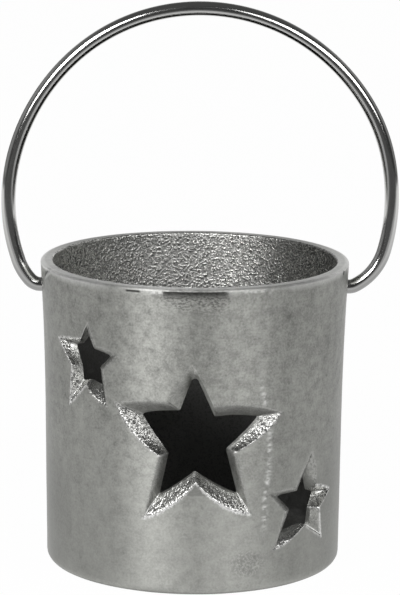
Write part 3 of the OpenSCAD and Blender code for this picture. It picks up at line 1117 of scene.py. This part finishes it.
def studio_floor(material, front, back, half, rise):
    """The pale floor, turned up at its back in a soft sweep."""
    bend = 0.35
    across = 9
    angles = np.linspace(0.1, math.pi / 2, 14)
    flat = [(y, 0.0) for y in np.linspace(front, back - bend, 24)]
    turned = [(back - bend + bend * math.sin(a), bend - bend * math.cos(a)) for a in angles]
    sweep = flat + turned + [(back, h) for h in np.linspace(bend, rise, 8)[1:]]
    spots = [(x, y, h) for y, h in sweep for x in np.linspace(-half, half, across)]
    faces = []
    for first in range(0, len(spots) - across, across):
        for k in range(first, first + across - 1):
            faces.append((k, k + 1, k + across + 1, k + across))
    mesh = bpy.data.meshes.new("floor")
    mesh.from_pydata(spots, [], faces)
    mesh.materials.append(material)
    floor = put("floor", mesh)


def softbox(name, place, target, size, strength):
    """A soft lamp of a size in metres, turned to a point. Its strength is the brightness of its face."""
    lamp = bpy.data.lights.new(name, "AREA")
    lamp.shape = "RECTANGLE"
    lamp.size, lamp.size_y = size
    lamp.energy = strength * size[0] * size[1] * math.pi
    holder = put(name, lamp)
    holder.location = place
    holder.rotation_euler = (Vector(target) - Vector(place)).to_track_quat("-Z", "Y").to_euler()
    holder.visible_camera = False


def studio_world():
    """Soft light from the back and the left, weaker from the right and above, faint from the front."""
    world = bpy.data.worlds.new("studio")
    bpy.context.scene.world = world
    g = Graph(world)
    x, back, height = g.parts(g.place("Generated"))
    behind = g.step(back - x * 0.2, -0.45, 0.1) * g.step(abs(height), 0.95, 0.4)
    tone = 0.035 + behind * 0.26 + g.step(height, 0.5, 0.95) * 0.05
    sky = g.node("ShaderNodeBackground", None, {"Color": g.scaled((1, 1, 1), tone), "Strength": 1.0})
    g.node("ShaderNodeOutputWorld", None, {"Surface": sky})


def photo_camera():
    """The camera at the photograph's viewing angle."""
    pitch, roll, yaw = 0.2069, 0.0088, 0.0027
    place = (-0.0008, -0.859, 0.2546)
    focal_px, image_px, sensor_mm = 3139, 595, 36
    right = Vector((math.cos(yaw), -math.sin(yaw), 0))
    ahead = Vector((math.sin(yaw) * math.cos(pitch), math.cos(yaw) * math.cos(pitch), -math.sin(pitch)))
    up = right.cross(ahead)
    across = right * math.cos(roll) + up * math.sin(roll)
    upward = up * math.cos(roll) - right * math.sin(roll)
    data = bpy.data.cameras.new("camera")
    data.lens = focal_px * sensor_mm / image_px
    data.sensor_width = sensor_mm
    data.clip_start, data.clip_end = 0.05, 20
    camera = put("camera", data)
    turned = Matrix((across, upward, -ahead)).transposed().to_4x4()
    camera.matrix_world = Matrix.Translation(place) @ turned
    bpy.context.scene.camera = camera


class HOLDER_OT_cup(bpy.types.Operator):
    """Build the cast cup with its three stars"""

    bl_idname = "holder.cup"
    bl_label = "Cup"

    def execute(self, context):
        scene = context.scene
        shell = cup_shell(*(in_mm(g) for g in (scene.holder_cup, scene.holder_stars, scene.holder_bail)))
        relief = roughen(shell)
        piece = shell.to_object("cup_casting", cast_metal(scene.holder_finishes), [("relief", relief)])
        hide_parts("cup")
        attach(piece, "cup")
        return {"FINISHED"}


class HOLDER_OT_bail(bpy.types.Operator):
    """Build the wire bail"""

    bl_idname = "holder.bail"
    bl_label = "Bail"

    def execute(self, context):
        scene = context.scene
        shell, drawn = bail_shell(in_mm(scene.holder_cup), in_mm(scene.holder_bail))
        piece = shell.to_object("bail_wire", wire_metal(scene.holder_finishes), [("drawn", drawn)])
        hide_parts("bail")
        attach(piece, "bail")
        return {"FINISHED"}


class HOLDER_OT_stage(bpy.types.Operator):
    """Set up the floor, the soft lamps and the camera"""

    bl_idname = "holder.stage"
    bl_label = "Stage"

    def execute(self, context):
        colours = context.scene.holder_finishes
        studio_floor(floor_finish(colours), front=-2.6, back=1.9, half=2.6, rise=1.1)
        studio_world()
        middle = (0, 0, 0.06)
        softbox("left_softbox", (-0.55, -0.92, 0.57), middle, size=(0.5, 0.6), strength=9.6)
        softbox("right_softbox", (0.58, -0.9, 0.57), middle, size=(0.85, 0.48), strength=4.8)
        photo_camera()
        context.scene.view_settings.view_transform = "Standard"
        return {"FINISHED"}


class HOLDER_PT_panel(bpy.types.Panel):
    """Sizes, colours and steps of the tealight holder"""

    bl_label = "Star tealight holder"
    bl_space_type = "VIEW_3D"
    bl_region_type = "UI"
    bl_category = "Holder"

    def draw(self, context):
        for name in POINTERS:
            group = getattr(context.scene, name)
            box = self.layout.box()
            for key in group.bl_rna.properties.keys():
                if key not in ("rna_type", "name"):
                    box.prop(group, key)
        for operator in (HOLDER_OT_cup, HOLDER_OT_bail, HOLDER_OT_stage):
            self.layout.operator(operator.bl_idname)


POINTERS = {
    "holder_cup": CupSizes,
    "holder_stars": StarSizes,
    "holder_bail": BailSizes,
    "holder_finishes": Finishes,
}
CLASSES = (*POINTERS.values(), HOLDER_OT_cup, HOLDER_OT_bail, HOLDER_OT_stage, HOLDER_PT_panel)


def register():
    for kind in CLASSES:
        bpy.utils.register_class(kind)
    for name, kind in POINTERS.items():
        setattr(bpy.types.Scene, name, PointerProperty(type=kind))


def unregister():
    for name in POINTERS:
        delattr(bpy.types.Scene, name)
    for kind in reversed(CLASSES):
        bpy.utils.unregister_class(kind)


def main():
    register()
    bpy.ops.holder.cup()
    bpy.ops.holder.bail()
    bpy.ops.holder.stage()


if __name__ == "__main__":
    main()
